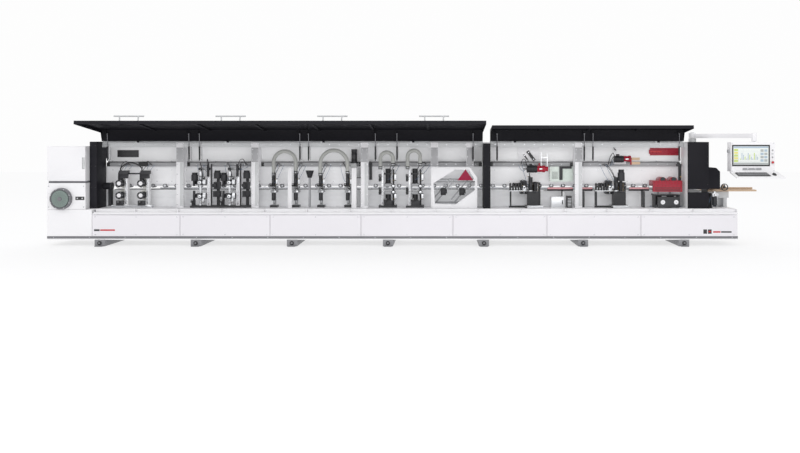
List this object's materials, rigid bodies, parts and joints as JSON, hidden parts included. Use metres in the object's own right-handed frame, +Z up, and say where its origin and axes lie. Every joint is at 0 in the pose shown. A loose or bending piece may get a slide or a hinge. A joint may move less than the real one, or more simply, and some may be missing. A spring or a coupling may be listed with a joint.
{
  "type": "edge banding machine",
  "caption": "Long through-feed edge banding machine: base on cross feet, chain feed under a pressure beam, gluing and trimming units under open hoods, boom console.",
  "frame": {"origin": "on the floor under the middle cross foot, halfway between its ends", "axes": "+X along the machine to its infeed end, +Y from the operator's side to the rear, +Z up"},
  "size_m": [11.742, 2.2032, 2.1188],
  "materials": {
    "white_paint": "satin powder coat",
    "grey_paint": "satin powder coat",
    "black_paint": "fine textured powder coat",
    "red_paint": "gloss paint",
    "dark_paint": "satin paint",
    "steel": "machined",
    "chrome": "polished",
    "aluminium": "anodised",
    "rubber": "moulded",
    "black_plastic": "fine texture",
    "red_plastic": "gloss",
    "hose_plastic": "corrugated",
    "port_plastic": "fine texture",
    "phenolic": "laminated, waxed",
    "cotton": "stitched cotton",
    "screen_glass": "lit display"
  },
  "bodies": {
    "machine": {"base_frame": "white_paint", "front_panels": "white_paint", "cross_feet": "grey_paint", "levelling_screws": "dark_paint", "left_lower_cover": "white_paint", "left_upper_cabinet": "white_paint", "round_port_cover": "port_plastic", "outfeed_wall": "black_paint", "partition_wall": "black_paint", "infeed_guard": "black_paint", "gantry_frame": "grey_paint", "rear_top_cover": "grey_paint", "feed_track": "steel", "feed_chain": "rubber", "drive_gearmotor": "dark_paint", "infeed_table": "phenolic", "air_service_unit": "aluminium", "premill_unit": "red_paint", "glue_unit_frames": "dark_paint", "end_trim_frame": "white_paint", "trimming_units": "dark_paint", "rounding_units": "dark_paint", "scraping_units": "dark_paint", "buffing_unit": "dark_paint", "dust_hoses": "hose_plastic"},
    "door": {"cabinet_door": "white_paint"},
    "door_handle": {"door_handle": "black_plastic"},
    "long_hood": {"long_hood": "black_paint", "hood_handles": "aluminium"},
    "short_hood": {"short_hood": "black_paint"},
    "long_strut_cylinders": {"long_strut_cylinders": "aluminium"},
    "long_strut_rods": {"long_strut_rods": "chrome"},
    "short_strut_cylinders": {"short_strut_cylinders": "aluminium"},
    "short_strut_rods": {"short_strut_rods": "chrome"},
    "pressure_beam": {"pressure_beam": "white_paint", "pressure_wheels": "rubber"},
    "drive_sprocket": {"drive_sprocket": "steel"},
    "idler_sprocket": {"idler_sprocket": "steel"},
    "infeed_fence": {"infeed_fence": "phenolic"},
    "fence_handwheel": {"fence_handwheel": "black_plastic"},
    "rear_support_rail": {"rear_support_rail": "aluminium"},
    "premill_cutter_first": {"premill_cutter_first": "steel"},
    "premill_cutter_second": {"premill_cutter_second": "steel"},
    "glue_roller_first": {"glue_roller_first": "steel"},
    "glue_roller_second": {"glue_roller_second": "steel"},
    "press_roller_first": {"press_roller_first": "rubber"},
    "press_roller_second": {"press_roller_second": "rubber"},
    "end_trim_saw_lead": {"end_trim_saw_lead": "dark_paint"},
    "end_trim_saw_trail": {"end_trim_saw_trail": "dark_paint"},
    "trim_cutter_first": {"trim_cutter_first": "steel"},
    "trim_cutter_second": {"trim_cutter_second": "steel"},
    "buff_wheel_top_in": {"buff_wheel_top_in": "cotton"},
    "buff_wheel_top_out": {"buff_wheel_top_out": "cotton"},
    "buff_wheel_low_in": {"buff_wheel_low_in": "cotton"},
    "buff_wheel_low_out": {"buff_wheel_low_out": "cotton"},
    "boom": {"control_boom": "grey_paint"},
    "console": {"console_housing": "white_paint", "console_screen": "screen_glass", "keyboard_and_mouse": "black_plastic"},
    "emergency_stop": {"emergency_stop": "red_plastic"}
  },
  "joints": [
    {"name": "door_hinge", "type": "hinge", "parent": "machine", "child": "door", "pos_m": [-5.556, -0.425, 1.3], "axis": [0, 0, -1], "range_deg": [0, 110]},
    {"name": "door_handle_lift", "type": "hinge", "parent": "door", "child": "door_handle", "pos_m": [-4.978, -0.415, 1.35], "axis": [0, 0, -1], "range_deg": [0, 80]},
    {"name": "long_hood_lift", "type": "hinge", "parent": "machine", "child": "long_hood", "pos_m": [0, -0.075, 1.7], "axis": [1, 0, 0], "range_deg": [0, 97]},
    {"name": "short_hood_lift", "type": "hinge", "parent": "machine", "child": "short_hood", "pos_m": [3.3, -0.075, 1.7], "axis": [1, 0, 0], "range_deg": [0, 97]},
    {"name": "long_strut_tilt", "type": "hinge", "parent": "machine", "child": "long_strut_cylinders", "pos_m": [0, -0.1, 1.4], "axis": [1, 0, 0], "range_deg": [0, 21.2]},
    {"name": "long_strut_stroke", "type": "slide", "parent": "long_strut_cylinders", "child": "long_strut_rods", "axis": [0, -0.0427, 0.9991], "range_m": [-0.1748, 0]},
    {"name": "short_strut_tilt", "type": "hinge", "parent": "machine", "child": "short_strut_cylinders", "pos_m": [3.3, -0.1, 1.4], "axis": [1, 0, 0], "range_deg": [0, 21.2]},
    {"name": "short_strut_stroke", "type": "slide", "parent": "short_strut_cylinders", "child": "short_strut_rods", "axis": [0, -0.0427, 0.9991], "range_m": [-0.1748, 0]},
    {"name": "pressure_beam_height", "type": "slide", "parent": "machine", "child": "pressure_beam", "axis": [0, 0, 1], "range_m": [-0.008, 0.042]},
    {"name": "drive_sprocket_turn", "type": "hinge", "parent": "machine", "child": "drive_sprocket", "pos_m": [-4.65, 0.255, 0.77], "axis": [0, -1, 0], "continuous": true},
    {"name": "idler_sprocket_turn", "type": "hinge", "parent": "machine", "child": "idler_sprocket", "pos_m": [5.13, 0.255, 0.77], "axis": [0, -1, 0], "continuous": true},
    {"name": "fence_shift", "type": "slide", "parent": "machine", "child": "infeed_fence", "axis": [0, -1, 0], "range_m": [0, 0.004]},
    {"name": "fence_handwheel_turn", "type": "hinge", "parent": "machine", "child": "fence_handwheel", "pos_m": [5.6, -0.09, 0.945], "axis": [0, 1, 0], "range_deg": [0, 1080]},
    {"name": "support_rail_reach", "type": "slide", "parent": "machine", "child": "rear_support_rail", "axis": [0, 1, 0], "range_m": [0, 0.28]},
    {"name": "premill_cutter_first_spin", "type": "hinge", "parent": "machine", "child": "premill_cutter_first", "pos_m": [4.74, 0.075, 0.9], "axis": [0, 0, 1], "continuous": true},
    {"name": "premill_cutter_second_spin", "type": "hinge", "parent": "machine", "child": "premill_cutter_second", "pos_m": [4.53, 0.075, 0.9], "axis": [0, 0, 1], "continuous": true},
    {"name": "glue_roller_first_spin", "type": "hinge", "parent": "machine", "child": "glue_roller_first", "pos_m": [3.87, 0.093, 0.9], "axis": [0, 0, 1], "continuous": true},
    {"name": "glue_roller_second_spin", "type": "hinge", "parent": "machine", "child": "glue_roller_second", "pos_m": [2.44, 0.093, 0.9], "axis": [0, 0, 1], "continuous": true},
    {"name": "press_roller_first_spin", "type": "hinge", "parent": "machine", "child": "press_roller_first", "pos_m": [3.678, 0.068, 0.9], "axis": [0, 0, 1], "continuous": true},
    {"name": "press_roller_second_spin", "type": "hinge", "parent": "machine", "child": "press_roller_second", "pos_m": [2.248, 0.068, 0.9], "axis": [0, 0, 1], "continuous": true},
    {"name": "end_trim_lead_stroke", "type": "slide", "parent": "machine", "child": "end_trim_saw_lead", "axis": [0.6428, 0, 0.766], "range_m": [-0.09, 0.09]},
    {"name": "end_trim_trail_stroke", "type": "slide", "parent": "machine", "child": "end_trim_saw_trail", "axis": [0.6428, 0, 0.766], "range_m": [-0.09, 0.09]},
    {"name": "trim_cutter_first_spin", "type": "hinge", "parent": "machine", "child": "trim_cutter_first", "pos_m": [0.428, 0.05, 0.9], "axis": [0, 0, 1], "continuous": true},
    {"name": "trim_cutter_second_spin", "type": "hinge", "parent": "machine", "child": "trim_cutter_second", "pos_m": [-0.026, 0.05, 0.9], "axis": [0, 0, 1], "continuous": true},
    {"name": "buff_wheel_top_in_spin", "type": "hinge", "parent": "machine", "child": "buff_wheel_top_in", "pos_m": [-4.14, 0.09, 1.009], "axis": [0, 1, 0], "continuous": true},
    {"name": "buff_wheel_top_out_spin", "type": "hinge", "parent": "machine", "child": "buff_wheel_top_out", "pos_m": [-4.5, 0.09, 1.009], "axis": [0, 1, 0], "continuous": true},
    {"name": "buff_wheel_low_in_spin", "type": "hinge", "parent": "machine", "child": "buff_wheel_low_in", "pos_m": [-4.14, 0.09, 0.809], "axis": [0, 1, 0], "continuous": true},
    {"name": "buff_wheel_low_out_spin", "type": "hinge", "parent": "machine", "child": "buff_wheel_low_out", "pos_m": [-4.5, 0.09, 0.809], "axis": [0, 1, 0], "continuous": true},
    {"name": "boom_swing", "type": "hinge", "parent": "machine", "child": "boom", "pos_m": [5.098, 0.025, 1.8], "axis": [0, 0, 1], "range_deg": [-30, 40]},
    {"name": "console_swivel", "type": "hinge", "parent": "boom", "child": "console", "pos_m": [5.85, -0.73, 1.74], "axis": [0, 0, 1], "range_deg": [-45, 45]},
    {"name": "emergency_stop_press", "type": "slide", "parent": "console", "child": "emergency_stop", "axis": [0, 1, 0], "range_m": [0, 0.005], "stiffness_N_per_m": 400}
  ],
  "couplings": [
    {"joint": "long_strut_tilt", "follows": "long_hood_lift", "ratio": 0.21855},
    {"joint": "long_strut_stroke", "follows": "long_hood_lift", "m_per_rad": -0.10325},
    {"joint": "short_strut_tilt", "follows": "short_hood_lift", "ratio": 0.21855},
    {"joint": "short_strut_stroke", "follows": "short_hood_lift", "m_per_rad": -0.10325},
    {"joint": "idler_sprocket_turn", "follows": "drive_sprocket_turn", "ratio": 1},
    {"joint": "fence_shift", "follows": "fence_handwheel_turn", "m_per_rad": 0.00021221}
  ]
}
